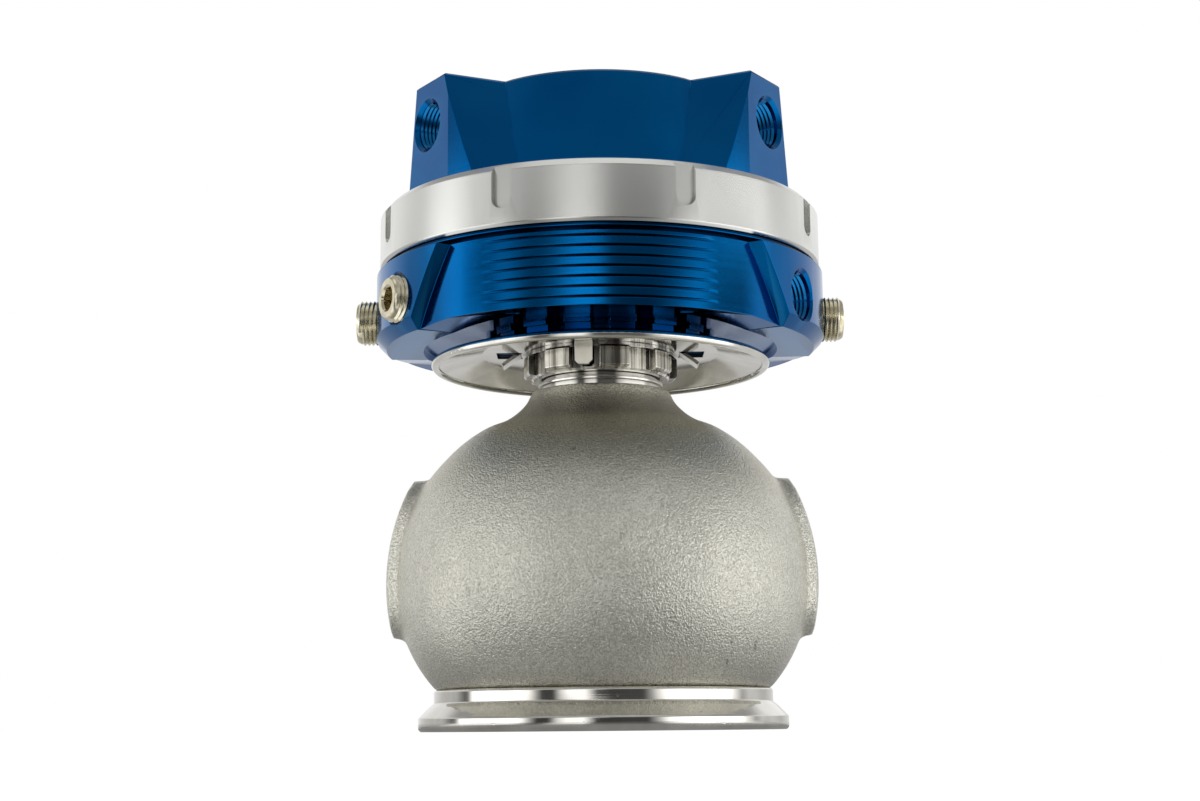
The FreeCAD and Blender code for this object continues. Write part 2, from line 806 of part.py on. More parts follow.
def broken_edges(body, size, height):
    """Break the sharp edges that bound the flat face at one height."""
    rim = [e for e in body.Edges if abs(e.BoundBox.ZMin - height) < 0.01 and e.BoundBox.ZLength < 0.01]
    return body.makeChamfer(size, rim)


def make_diaphragm():
    """Moulded top-hat diaphragm: clamped rim, slanting wall and flat centre."""
    mid = base_rim_top + 0.3
    inner_r = chamber_r + bead_land
    outer_r = base_thread_r - bead_in
    fold_r = chamber_r - sheet_fold_gap
    root_r = piston_r + sheet_root_gap
    top = sheet_bottom + sheet_t
    return turned([
        (stem_hole_r, sheet_bottom), (root_r - 0.6, sheet_bottom), (root_r + 0.4, sheet_bottom + 0.6),
        (fold_r, mid), (inner_r, mid), (inner_r, base_rim_top), (outer_r, base_rim_top),
        (outer_r, cap_bottom), (inner_r, cap_bottom), (inner_r, mid + sheet_t),
        (fold_r - 0.6, mid + sheet_t), (root_r - 0.7, top + 0.4), (root_r - 1.0, top), (stem_hole_r, top)])


def make_clamp_plate():
    z = sheet_bottom - plate_t
    return turned([(stem_hole_r, z), (plate_r - 0.4, z), (plate_r, z + 0.4),
                   (plate_r, sheet_bottom), (stem_hole_r, sheet_bottom)])


def make_piston():
    """Spring cup above the diaphragm, with a raised ring that centres the springs."""
    top = spring_floor + centring_t
    outer_r = outer_mean_r - outer_wire / 2 - centring_gap
    inner_r = inner_mean_r + inner_wire / 2 + centring_gap
    cup_r = piston_r - piston_wall
    return turned([
        (stem_hole_r, piston_floor), (piston_r - 0.8, piston_floor), (piston_r, piston_floor + 0.8),
        (piston_r, piston_rim), (cup_r, piston_rim), (cup_r, spring_floor),
        (outer_r, spring_floor), (outer_r - 0.6, top), (inner_r + 0.3, top), (inner_r, spring_floor),
        (stem_hole_r, spring_floor)])


def make_washer():
    return tube(washer_r, stem_hole_r, spring_floor, nut_bottom)


def make_stem_nut():
    top = nut_bottom + nut_t
    inscribed = nut_across / 2 - 0.2
    nut = hex_prism(nut_across, V(0, 0, nut_bottom), UP, nut_t)
    crown_cut = turned([(inscribed, top), (nut_across, top - nut_chamfer),
                        (nut_across, top + 1), (inscribed, top + 1)])
    return solid(nut.cut(crown_cut).cut(disc(stem_thread_r + plug_clearance, nut_bottom - 1, top + 1)))


def make_valve():
    """Poppet valve: flat face down, seat cone, tulip neck, stem and threaded end."""
    cone_z = seat_top - seat_cone_h + 0.5
    face_z = cone_z - valve_face_t
    face_r = seat_inner_r + 0.5
    rim_z = cone_z + (valve_r - face_r)
    back_z = rim_z + valve_rim_t
    back = (valve_r - 1.2, back_z + 0.5)
    neck = (stem_r, rim_z + tulip_rise)
    shoulder = sheet_bottom - plate_t
    end_z = nut_bottom + nut_t + thread_end
    edges = [
        line((0, face_z), (face_r - valve_face_t, face_z)),
        line((face_r - valve_face_t, face_z), (face_r, cone_z)),
        line((face_r, cone_z), (valve_r, rim_z)),
        line((valve_r, rim_z), (valve_r, back_z)),
        line((valve_r, back_z), back),
        bow(back, neck, -tulip_sag),
        line(neck, (stem_r, shoulder)),
        line((stem_r, shoulder), (stem_thread_r, shoulder)),
        line((stem_thread_r, shoulder), (stem_thread_r, end_z - stem_edge)),
        line((stem_thread_r, end_z - stem_edge), (stem_thread_r - stem_edge, end_z)),
        line((stem_thread_r - stem_edge, end_z), (0, end_z)),
        line((0, end_z), (0, face_z))]
    return turned_edges(edges)


def make_stem_bush():
    return tube(bush_r, stem_bore_r, bush_top - bush_len, bush_top)


def make_stem_seal():
    return tube(seal_r, stem_bore_r, bush_top, seal_top)


def make_seal_clip():
    """Open spring clip that holds the stem seal in its bore."""
    ring = tube(seal_r + clip_groove - plug_clearance, stem_r + 0.9, seal_top, clip_top)
    return solid(ring.cut(sector(180, clip_open_deg, FAR, seal_top - 1, clip_top + 1)))


def wire_section(mean_r, radius):
    """Eight-sided section of the spring wire, with the area of the round one."""
    corner = radius * math.sqrt(math.pi / (4 * math.sin(math.pi / 4)))
    corners = []
    for i in range(9):
        a = math.radians(45 * i + 22.5)
        corners.append(V(mean_r + corner * math.cos(a), 0, corner * math.sin(a)))
    return Part.makePolygon(corners)


def make_spring(mean_r, wire, turns, z0, z1):
    """Coil spring with its ends ground flat against both seats."""
    low = z0 + spring_seat_gap
    high = z1 - spring_seat_gap
    pitch = (high - low - wire * 0.5) / turns
    helix = Part.makeHelix(pitch, pitch * turns, mean_r)
    section = wire_section(mean_r, wire / 2)
    coil = Part.Wire(helix.Edges).makePipeShell([section], True, True)
    coil.translate(V(0, 0, low + wire * 0.25))
    return solid(coil.common(disc(mean_r + wire, low, high)))


def make_outer_spring():
    return make_spring(outer_mean_r, outer_wire, outer_turns, spring_floor, cap_inner_top)


def make_inner_spring():
    return make_spring(inner_mean_r, inner_wire, inner_turns, spring_floor, cap_inner_top)


PIECES = {
    "inlet_flange": make_inlet_flange,
    "valve_body": make_valve_body,
    "outlet_flange": make_outlet_flange,
    "valve_seat": make_valve_seat,
    "valve_guide": make_valve_guide,
    "body_gasket": make_body_gasket,
    "valve": make_valve,
    "locking_collar": make_locking_collar,
    "heat_shield": make_heat_shield,
    "actuator_base": make_actuator_base,
    "stem_bush": make_stem_bush,
    "stem_seal": make_stem_seal,
    "seal_clip": make_seal_clip,
    "left_front_plug": lambda: make_plug(-front_port_deg, front_plug_proud),
    "left_side_plug": lambda: make_plug(-side_port_deg, side_plug_proud),
    "right_side_plug": lambda: make_plug(side_port_deg, side_plug_proud),
    "lock_ring": make_lock_ring,
    "actuator_cap": make_cap,
    "diaphragm": make_diaphragm,
    "clamp_plate": make_clamp_plate,
    "piston": make_piston,
    "stem_washer": make_washer,
    "stem_nut": make_stem_nut,
    "outer_spring": make_outer_spring,
    "inner_spring": make_inner_spring,
}

os.makedirs("parts", exist_ok=True)
for name, make in PIECES.items():
    shape = make()
    shape.exportStep("parts/" + name + ".step")
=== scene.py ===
import bmesh
import bpy
import json
import math
from mathutils import Matrix, Vector


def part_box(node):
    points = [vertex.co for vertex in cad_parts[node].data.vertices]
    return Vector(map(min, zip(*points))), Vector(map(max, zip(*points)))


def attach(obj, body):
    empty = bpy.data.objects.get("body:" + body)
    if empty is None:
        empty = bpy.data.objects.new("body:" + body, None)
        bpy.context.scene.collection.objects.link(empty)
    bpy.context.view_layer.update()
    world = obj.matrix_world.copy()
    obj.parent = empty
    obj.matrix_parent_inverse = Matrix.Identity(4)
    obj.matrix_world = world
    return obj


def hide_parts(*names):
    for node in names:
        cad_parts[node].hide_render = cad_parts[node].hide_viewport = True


# External wastegate dressed over its CAD frame: metres, +Z up the stem, front to -Y.

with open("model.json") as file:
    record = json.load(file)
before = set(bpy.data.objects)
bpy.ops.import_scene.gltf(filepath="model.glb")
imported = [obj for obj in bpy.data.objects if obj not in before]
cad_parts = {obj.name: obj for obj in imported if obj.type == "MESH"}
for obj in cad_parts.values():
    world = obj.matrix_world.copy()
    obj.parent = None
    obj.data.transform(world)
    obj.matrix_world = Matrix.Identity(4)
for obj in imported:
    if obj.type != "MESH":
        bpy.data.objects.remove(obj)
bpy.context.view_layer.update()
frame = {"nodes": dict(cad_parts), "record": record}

MM = 0.001

# Photographed view, fitted to the round edges of the part
VIEW_DISTANCE = 433.11 * MM
VIEW_HEIGHT = 1.0 * MM
VIEW_SIDE = -0.17 * MM
VIEW_PITCH = math.radians(9.597)
VIEW_ROLL = math.radians(0.507)
VIEW_LENS = 57.75
SENSOR_WIDTH = 36.0


# Shader maths

class Sock:
    """A shader socket that takes part in plain arithmetic."""

    def __init__(self, tree, socket):
        self.tree = tree
        self.socket = socket

    def math(self, operation, *others):
        return add_node(self.tree, "ShaderNodeMath", {"operation": operation},
                        dict(enumerate((self,) + others)))

    def __add__(self, other):
        return self.math("ADD", other)

    def __sub__(self, other):
        return self.math("SUBTRACT", other)

    def __rsub__(self, other):
        return (self * -1.0) + other

    def __mul__(self, other):
        return self.math("MULTIPLY", other)

    def __truediv__(self, other):
        return self.math("DIVIDE", other)

    __radd__ = __add__
    __rmul__ = __mul__

    def clamp(self):
        return self.math("MAXIMUM", 0.0).math("MINIMUM", 1.0)

    def ramp(self, low, high):
        """0 below low, 1 above high, smooth between."""
        return add_node(self.tree, "ShaderNodeMapRange", {"interpolation_type": "SMOOTHSTEP"},
                        {"Value": self, "From Min": low, "From Max": high})

    def band(self, start, full, fade, end):
        """1 from full to fade, running out to 0 at start and end."""
        return self.ramp(start, full) * (1.0 - self.ramp(fade, end))


def add_node(tree, kind, settings=None, sockets=None, result=0):
    """Add one node: its settings, then the values or links of its sockets, by name or place.

    Gives the socket of the result, or several in a row for a tuple of names.
    """
    made = tree.nodes.new(kind)
    for key, value in (settings or {}).items():
        if key == "stops":
            fill_ramp(made.color_ramp, value)
        else:
            setattr(made, key, value)
    for key, value in (sockets or {}).items():
        if isinstance(value, Sock):
            tree.links.new(value.socket, made.inputs[key])
        else:
            made.inputs[key].default_value = colour(value)
    if isinstance(result, tuple):
        return tuple(Sock(tree, made.outputs[key]) for key in result)
    return Sock(tree, made.outputs[result])


def colour(value):
    """Give three parts of a colour their fourth; anything else stays as it is."""
    if isinstance(value, tuple) and len(value) == 3:
        return value + (1.0,)
    return value


def fill_ramp(ramp, stops):
    while len(ramp.elements) > 1:
        ramp.elements.remove(ramp.elements[-1])
    for i, (at, value) in enumerate(stops):
        stop = ramp.elements[0] if i == 0 else ramp.elements.new(at)
        stop.position = at
        stop.color = (value, value, value, 1.0)


class Shader:
    """A material being written: nodes come from one method, sums from Sock."""

    def __init__(self, name):
        self.material = bpy.data.materials.new(name)
        self.material.use_nodes = True
        self.tree = self.material.node_tree
        self.tree.nodes.clear()
        self.place = self.node("ShaderNodeTexCoord", result="Object")

    def node(self, kind, settings=None, sockets=None, result=0):
        return add_node(self.tree, kind, settings, sockets, result)

    def noise(self, scale, detail, rough, place=None):
        return self.node("ShaderNodeTexNoise", None, {
            "Vector": place or self.place, "Scale": scale, "Detail": detail, "Roughness": rough})

    def lines(self, across, scale, detail, rough):
        """Noise that changes along one value only."""
        return self.node("ShaderNodeTexNoise", {"noise_dimensions": "1D"}, {
            "W": across, "Scale": scale, "Detail": detail, "Roughness": rough})

    def cells(self, scale):
        return self.node("ShaderNodeTexVoronoi", None, {"Vector": self.place, "Scale": scale},
                         "Distance")

    def scaled(self, x, y, z):
        """Object coordinates scaled by axis, for marks that run one way."""
        return self.node("ShaderNodeVectorMath", {"operation": "MULTIPLY"},
                         {0: self.place, 1: Vector((x, y, z))})

    def axes(self):
        return self.node("ShaderNodeSeparateXYZ", None, {"Vector": self.place}, ("X", "Y", "Z"))

    def radius(self):
        x, y, _ = self.axes()
        return (x * x + y * y).math("SQRT")

    def clear_of_shade(self, reach, low=0.30, high=0.85, alone=False):
        """1 in the open, 0 deep in a gap or a bore: the mask for shade painted into the colour."""
        clear = self.node("ShaderNodeAmbientOcclusion", {"samples": 6, "only_local": alone},
                          {"Distance": reach}, "AO")
        return clear.ramp(low, high)

    def mix(self, factor, a, b):
        return self.node("ShaderNodeMix", {"data_type": "RGBA"}, {"Factor": factor, 6: a, 7: b}, 2)

    def bump(self, height, distance, strength):
        return self.node("ShaderNodeBump", None, {
            "Strength": strength, "Distance": distance, "Height": height})

    def glow(self, strength):
        """White light of a strength."""
        return self.node("ShaderNodeEmission", None, {"Strength": strength})

    def either(self, factor, a, b):
        """Shader a where the factor is 0, b where it is 1."""
        return self.node("ShaderNodeMixShader", None, {0: factor, 1: a, 2: b})

    def cover(self, surface):
        self.node("ShaderNodeOutputMaterial", None, {"Surface": surface}, ())
        return self.material

    def finish(self, base, rough, metallic, normal):
        return self.cover(self.node("ShaderNodeBsdfPrincipled", None, {
            "Base Color": base, "Roughness": rough, "Metallic": metallic, "Normal": normal}))


# Materials

# Heights of the bands of painted shade under the shield, the actuator and the lock ring: start,
# full, fade, end
THROAT_SHADE = (65.0 * MM, 69.0 * MM, 71.0 * MM, 76.0 * MM)
SHOULDER_SHADE = (46.0 * MM, 60.0 * MM, 66.0 * MM, 72.0 * MM)
UNDER_RING_SHADE = (102.75 * MM, 102.85 * MM, 103.32 * MM, 103.37 * MM)


def worn_edges(s, low=0.53, high=0.60):
    """Mask of convex edges, where handling has rubbed the finish."""
    return s.node("ShaderNodeNewGeometry", result="Pointiness").ramp(low, high)


def cast_steel():
    """Sand-cast stainless steel, blasted: fine grain, soft swells, pits and a few dark scuffs, with
    painted shade on the shoulder and the throat.
    """
    s = Shader("cast_steel")
    grain = s.noise(2300.0, 2.0, 0.6)
    peel = s.noise(1000.0, 2.0, 0.5)
    swell = s.noise(70.0, 3.0, 0.55)
    pits = s.cells(900.0).ramp(0.08, 0.24)
    upright = s.noise(1.0, 2.0, 0.6, s.scaled(620.0, 200.0, 190.0)).ramp(0.66, 0.71)
    level = s.noise(1.0, 2.0, 0.6, s.scaled(210.0, 260.0, 640.0)).ramp(0.66, 0.71)
    patch = s.noise(38.0, 2.0, 0.5)
    scuff = upright * patch.ramp(0.56, 0.62) + level * (1.0 - patch.ramp(0.38, 0.44))
    height = s.axes()[2]
    tone = swell * 0.20 + grain * 0.65 + peel * 0.15
    base = s.mix(tone.ramp(0.34, 0.66), (0.56, 0.55, 0.485), (0.92, 0.905, 0.805))
    base = s.mix(scuff.clamp() * 0.5, base, (0.16, 0.15, 0.14))
    # Painted shade: the shoulder and the throat darkened where the actuator and the shield above
    # shade them
    base = s.mix(height.band(*SHOULDER_SHADE) * 0.38, base, (0.34, 0.30, 0.19))
    base = s.mix(height.band(*THROAT_SHADE) * 0.52, base, (0.22, 0.215, 0.20))
    normal = s.bump(grain * 0.60 + peel * 0.28 + pits * 0.12, 0.50 * MM, 0.9)
    return s.finish(base, grain * 0.12 + 0.29, 1.0, normal)


def turned_steel(name, low, high, rough):
    """Lathe-turned steel: fine rings about Z, faint stains and small nicks, with painted shade in
    its own recesses.
    """
    s = Shader(name)
    rings = s.noise(1.0, 2.0, 0.5, s.scaled(18.0, 18.0, 2600.0))
    stain = s.noise(70.0, 3.0, 0.6)
    nicks = s.noise(1.0, 2.0, 0.6, s.scaled(300.0, 300.0, 900.0)).ramp(0.70, 0.76)
    base = s.mix(stain.ramp(0.35, 0.70), low, high)
    # Painted shade: darker in the part's own recesses
    base = s.mix(s.clear_of_shade(3.0 * MM, 0.35, 0.92, alone=True), (0.10, 0.09, 0.08), base)
    normal = s.bump(rings - nicks * 0.5, 0.02 * MM, 0.3)
    return s.finish(base, rings * 0.06 + stain * 0.06 + rough + nicks * 0.15, 1.0, normal)


def milled_steel(name, low, high, rough):
    """Collar steel: upright mill and hammer marks round the stem, with painted shade in its
    corners.
    """
    s = Shader(name)
    x, y, _ = s.axes()
    marks = s.lines(x.math("ARCTAN2", y), 9.0, 3.0, 0.7)
    fine = s.noise(1.0, 2.0, 0.6, s.scaled(900.0, 900.0, 120.0))
    base = s.mix((marks * 0.8 + fine * 0.2).ramp(0.40, 0.58), low, high)
    # Painted shade: near black in corners and gaps
    base = s.mix(s.clear_of_shade(3.0 * MM), (0.05, 0.045, 0.04), base)
    base = s.mix(worn_edges(s, 0.52, 0.60) * 0.7, base, (0.92, 0.91, 0.87))
    return s.finish(base, fine * 0.10 + rough, 1.0, s.bump(fine, 0.02 * MM, 0.4))


def anodised(name, deep, light, rough, worn, grain_scale=5200.0, relief=0.010):
    """Anodised aluminium: satin micro-grain, faint machining lines, rubbed edges, and painted shade
    in recesses and in the gap under the lock ring.

    The relief is in millimetres.
    """
    s = Shader(name)
    grain = s.noise(grain_scale, 2.0, 0.6)
    lines = s.noise(1.0, 2.0, 0.5, s.scaled(60.0, 60.0, 1600.0))
    cloud = s.noise(35.0, 2.0, 0.5)
    base = s.mix(cloud.ramp(0.30, 0.70), deep, light)
    base = s.mix(worn_edges(s) * 0.45, base, worn)
    # Colour of painted shade, a near black copy of the deep colour
    shade = tuple(c * 0.08 for c in deep)
    # Painted shade in recesses
    base = s.mix(s.clear_of_shade(2.5 * MM, 0.10, 0.65), shade, base)
    # Painted shade in the gap under the lock ring
    base = s.mix(s.axes()[2].band(*UNDER_RING_SHADE) * 0.85, base, shade)
    normal = s.bump(grain * 0.5 + lines * 0.5, relief * MM, 0.5)
    return s.finish(base, grain * 0.10 + lines * 0.05 + rough, 1.0, normal)


def polished_steel(name, low, high, rough):
    """Pressed and polished sheet: brushed rings about the stem, light smears, and painted shade in
    recesses.
    """
    s = Shader(name)
    rings = s.lines(s.radius(), 2200.0, 2.0, 0.5)
    smear = s.noise(90.0, 3.0, 0.6)
    base = s.mix(smear.ramp(0.35, 0.70), low, high)
    # Painted shade: darker where the sheet is enclosed
    base = s.mix(s.clear_of_shade(4.0 * MM, 0.25, 0.75), (0.06, 0.055, 0.05), base)
    normal = s.bump(rings, 0.01 * MM, 0.35)
    return s.finish(base, smear * 0.10 + rings * 0.05 + rough, 1.0, normal)


def plated_nickel():
    """Nickel plate gone yellow, pale where the threads are rubbed."""
    s = Shader("plug_nickel")
    grain = s.noise(1800.0, 2.0, 0.5)
    stain = s.noise(500.0, 3.0, 0.6)
    base = s.mix(stain.ramp(0.35, 0.70), (0.62, 0.56, 0.39), (0.84, 0.79, 0.61))
    base = s.mix(worn_edges(s, 0.55, 0.66) * 0.45, base, (0.95, 0.92, 0.80))
    return s.finish(base, grain * 0.10 + 0.14, 1.0, s.bump(grain, 0.01 * MM, 0.4))


def plain_metal(name, base, rough):
    """Inner metal pieces: a little grain and colour drift."""
    s = Shader(name)
    grain = s.noise(1500.0, 2.0, 0.5)
    drift = s.noise(120.0, 2.0, 0.5)
    darker = tuple(c * 0.8 for c in base)
    body = s.mix(drift.ramp(0.3, 0.7), darker, base)
    return s.finish(body, grain * 0.12 + rough, 1.0, s.bump(grain, 0.01 * MM, 0.4))


def rubber(name, base):
    """Rubber with a fabric weave that just shows."""
    s = Shader(name)
    weave = s.noise(2400.0, 2.0, 0.5)
    drift = s.noise(150.0, 2.0, 0.5)
    body = s.mix(drift.ramp(0.3, 0.7), tuple(c * 0.75 for c in base), base)
    return s.finish(body, weave * 0.15 + 0.5, 0.0, s.bump(weave, 0.02 * MM, 0.5))


MATERIALS = {
    "cast_steel": cast_steel(),
    "machined_steel": turned_steel("machined_steel", (0.62, 0.605, 0.56), (0.80, 0.78, 0.725),
                                   0.025),
    "seat_steel": turned_steel("seat_steel", (0.34, 0.33, 0.32), (0.48, 0.47, 0.45), 0.22),
    "collar_steel": milled_steel("collar_steel", (0.26, 0.25, 0.22), (0.84, 0.82, 0.77), 0.07),
    "shield_steel": polished_steel("shield_steel", (0.70, 0.685, 0.63), (0.86, 0.84, 0.78), 0.04),
    "blue_anodised": anodised("blue_anodised", (0.0, 0.092, 0.295), (0.001, 0.118, 0.345), 0.06,
                              (0.02, 0.22, 0.50)),
    "clear_anodised": anodised("clear_anodised", (0.66, 0.66, 0.63), (0.74, 0.74, 0.71), 0.15,
                               (0.86, 0.86, 0.84), grain_scale=6000.0, relief=0.003),
    "plug_nickel": plated_nickel(),
    "bronze": plain_metal("bronze", (0.55, 0.36, 0.16), 0.30),
    "spring_steel": plain_metal("spring_steel", (0.25, 0.26, 0.28), 0.35),
    "diaphragm_rubber": rubber("diaphragm_rubber", (0.35, 0.10, 0.06)),
    "seal_rubber": rubber("seal_rubber", (0.03, 0.03, 0.03)),
    "gasket_metal": plain_metal("gasket_metal", (0.45, 0.42, 0.38), 0.35),
    "piston_aluminium": plain_metal("piston_aluminium", (0.62, 0.62, 0.62), 0.28),
}

SLOT_OF = {p["node"]: p["material_slot"] for p in frame["record"]["subparts"]}
BODY_OF = {n: b for b, members in frame["record"]["behaviour"]["bodies"].items() for n in members}

for node_name, node_object in frame["nodes"].items():
    node_object.data.materials.clear()
    node_object.data.materials.append(MATERIALS[SLOT_OF[node_name]])


# Mesh tools

def new_piece(name, mesh):
    piece = bpy.data.objects.new(name, mesh)
    bpy.context.scene.collection.objects.link(piece)
    return piece


def applied(piece):
    """Bake a piece's modifiers into a plain mesh and drop them."""
    bpy.context.view_layer.update()
    graph = bpy.context.evaluated_depsgraph_get()
    mesh = bpy.data.meshes.new_from_object(piece.evaluated_get(graph))
    piece.modifiers.clear()
    piece.data = mesh
    return piece


def dress(piece, node, stands_for=None, slot=None):
    """Give a piece its finish, its body and the CAD node that it replaces."""
    slot = slot or SLOT_OF[node]
    piece.data.materials.clear()
    piece.data.materials.append(MATERIALS[slot])
    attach(piece, BODY_OF[node])
    if stands_for:
        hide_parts(stands_for)


# The grooved wall of the base: its radius and how near to it a point counts, the front and sides
# of the lands, the points in a row, the least height of a land and the tilt that marks a fan
GROOVED_WALL_R = 48.0 * MM
WALL_FIT = 0.06 * MM
GROOVED_FRONT = -30.0 * MM
LAND_HALF = 24.8 * MM
LAND_POINTS = 24
LAND_TALL = 1.0 * MM
FAN_TILT = 0.3


def lay_lands(work, layer):
    """Lay again, as even strips, the lands that the frame carries as fans across the round wall."""
    rows = {}
    for vert in work.verts:
        x, y, z = vert.co
        on_wall = abs(math.hypot(x, y) - GROOVED_WALL_R) < WALL_FIT
        if on_wall and y < GROOVED_FRONT and abs(x) < LAND_HALF:
            rows.setdefault(round(z / MM, 2), []).append(vert)
    rows = [sorted(rows[z], key=lambda v: v.co.x) for z in sorted(rows)
            if len(rows[z]) == LAND_POINTS]
    for low, high in zip(rows, rows[1:]):
        both = set(low + high)
        old = {f for v in low for f in v.link_faces if set(f.verts) <= both}
        tilted = any(abs(f.normal.z) > FAN_TILT for f in old)
        if not tilted or high[0].co.z - low[0].co.z < LAND_TALL:
            continue
        bmesh.ops.delete(work, geom=list(old), context="FACES_ONLY")
        for i in range(len(low) - 1):
            strip = work.faces.new((low[i], low[i + 1], high[i + 1], high[i]))
            for loop in strip.loops:
                loop[layer] = Vector((loop.vert.co.x, loop.vert.co.y, 0.0)).normalized()
    loose = [e for e in work.edges if not e.link_faces]
    bmesh.ops.delete(work, geom=loose, context="EDGES")


# Points closer than this are one, and faces that turn by less than this are one flat face
MERGE = 0.002 * MM
FLAT_DEG = 0.05


def cad_form(node):
    """Merged form of a CAD node: flat faces whole, the true surface normal at each corner."""
    mesh = frame["nodes"][node].data.copy()
    flat = [0.0] * (3 * len(mesh.loops))
    mesh.corner_normals.foreach_get("vector", flat)
    true = mesh.attributes.new("true_normal", "FLOAT_VECTOR", "CORNER")
    true.data.foreach_set("vector", flat)
    work = bmesh.new()
    work.from_mesh(mesh)
    bmesh.ops.remove_doubles(work, verts=work.verts, dist=MERGE)
    if node == "actuator_base":
        lay_lands(work, work.loops.layers.float_vector["true_normal"])
    bmesh.ops.dissolve_limit(work, angle_limit=math.radians(FLAT_DEG), verts=work.verts,
                             edges=work.edges)
    return work


def plain_mesh(work, name, keep_normals):
    """Turn the form into a mesh, with the corner normals that it carries or with none."""
    mesh = bpy.data.meshes.new(name)
    work.to_mesh(mesh)
    work.free()
    stale = mesh.attributes.get("custom_normal")
    if stale:
        mesh.attributes.remove(stale)
    true = mesh.attributes["true_normal"]
    flat = [0.0] * (3 * len(mesh.loops))
    true.data.foreach_get("vector", flat)
    mesh.attributes.remove(true)
    mesh.polygons.foreach_set("use_smooth", [True] * len(mesh.polygons))
    if keep_normals:
        mesh.normals_split_custom_set(list(zip(flat[0::3], flat[1::3], flat[2::3])))
    return mesh


def crease(edge, layer):
    """Angle by which the surface turns at an edge."""
    a, b = edge.link_loops
    pairs = ((a, b.link_loop_next), (a.link_loop_next, b))
    return max(p[layer].angle(q[layer], 0.0) for p, q in pairs)


def round_off(work, layer, chosen, width, segments):
    """Round the chosen edges; each new face takes its shading from the faces beside it."""
    made = bmesh.ops.bevel(work, geom=chosen, offset=width, offset_type="OFFSET",
                           segments=segments, profile=0.5, affect="EDGES",
                           clamp_overlap=False, loop_slide=True)
    fresh = set(made["faces"])
    work.normal_update()
    for face in fresh:
        for loop in face.loops:
            kin = [k[layer] for k in loop.vert.link_loops if k.face not in fresh]
            loop[layer] = sum(kin, Vector()).normalized() if kin else loop.vert.normal


# Least width of the faces beside an edge that is rounded, in widths of the rounding
EDGE_ROOM = 2.6


def softened(node, name, width, angle, top):
    """CAD form with its edges rounded below a height, where the faces beside them leave room."""
    work = cad_form(node)
    layer = work.loops.layers.float_vector["true_normal"]
    chosen = []
    for edge in work.edges:
        if len(edge.link_loops) == 2 and crease(edge, layer) > math.radians(angle):
            length = edge.calc_length()
            if max(vert.co.z for vert in edge.verts) > top:
                continue
            if min(face.calc_area() for face in edge.link_faces) > EDGE_ROOM * width * length:
                chosen.append(edge)
    round_off(work, layer, chosen, width, segments=2)
    return new_piece(name, plain_mesh(work, name, keep_normals=True))


def smooth(piece, angle=32.0):
    mesh = piece.data
    mesh.polygons.foreach_set("use_smooth", [True] * len(mesh.polygons))
    work = bmesh.new()
    work.from_mesh(mesh)
    for edge in work.edges:
        faces = edge.link_faces
        edge.smooth = len(faces) == 2 and edge.calc_face_angle(0.0) < math.radians(angle)
    work.to_mesh(mesh)
    work.free()
    return piece


def lathe(name, profile, steps):
    """Turn a closed profile of (radius, height) in metres about Z."""
    work = bmesh.new()
    rings = []
    for i in range(steps):
        a = 2 * math.pi * i / steps
        rings.append([work.verts.new((r * math.cos(a), r * math.sin(a), z))
                      for r, z in profile])
    count = len(profile)
    for i in range(steps):
        here, there = rings[i], rings[(i + 1) % steps]
        for j in range(count):
            k = (j + 1) % count
            work.faces.new((here[j], there[j], there[k], here[k]))
    bmesh.ops.recalc_face_normals(work, faces=work.faces)
    mesh = bpy.data.meshes.new(name)
    work.to_mesh(mesh)
    work.free()
    return new_piece(name, mesh)


# Most of a side that one corner may take
CORNER_SHARE = 0.45


def rounded(points, radius, steps):
    """Closed profile with its corners turned into small arcs."""
    out = []
    count = len(points)
    for i in range(count):
        a, b, c = (Vector(points[i - 1]), Vector(points[i]), Vector(points[(i + 1) % count]))
        u, v = (a - b), (c - b)
        cut = min(radius, u.length * CORNER_SHARE, v.length * CORNER_SHARE)
        start, end = b + u.normalized() * cut, b + v.normalized() * cut
        for k in range(steps + 1):
            t = k / steps
            p = start.lerp(b, t).lerp(b.lerp(end, t), t)
            out.append((p.x, p.y))
    return out


def thread_tree():
    """Geometry nodes: a V-shaped ridge wound as a helix along +Z from the origin."""
    tree = bpy.data.node_groups.new("thread_ridge", "GeometryNodeTree")
    face = tree.interface
    for label in ("Radius", "Pitch", "Turns", "Depth"):
        face.new_socket(label, in_out="INPUT", socket_type="NodeSocketFloat")
    face.new_socket("Finish", in_out="INPUT", socket_type="NodeSocketMaterial")
    face.new_socket("Geometry", in_out="OUTPUT", socket_type="NodeSocketGeometry")
    radius, pitch, turns, depth, finish = add_node(tree, "NodeGroupInput", result=(
        "Radius", "Pitch", "Turns", "Depth", "Finish"))
    coil = add_node(tree, "GeometryNodeCurveSpiral", None, {
        "Resolution": 48, "Rotations": turns, "Start Radius": radius, "End Radius": radius,
        "Height": pitch * turns})
    upright = add_node(tree, "GeometryNodeSetCurveNormal", {"mode": "Z_UP"}, {0: coil})
    section = add_node(tree, "GeometryNodeCurvePrimitiveCircle", None, {
        "Resolution": 4, "Radius": depth}, "Curve")
    sweep = add_node(tree, "GeometryNodeCurveToMesh", None, {
        "Curve": upright, "Profile Curve": section, "Fill Caps": True})
    real = add_node(tree, "GeometryNodeRealizeInstances", None, {0: sweep})
    painted = add_node(tree, "GeometryNodeSetMaterial", None, {
        "Geometry": real, "Material": finish})
    add_node(tree, "NodeGroupOutput", None, {0: painted}, ())
    return tree


THREAD_TREE = thread_tree()
THREAD_PITCH = 0.94 * MM
THREAD_DEPTH = 0.42 * MM


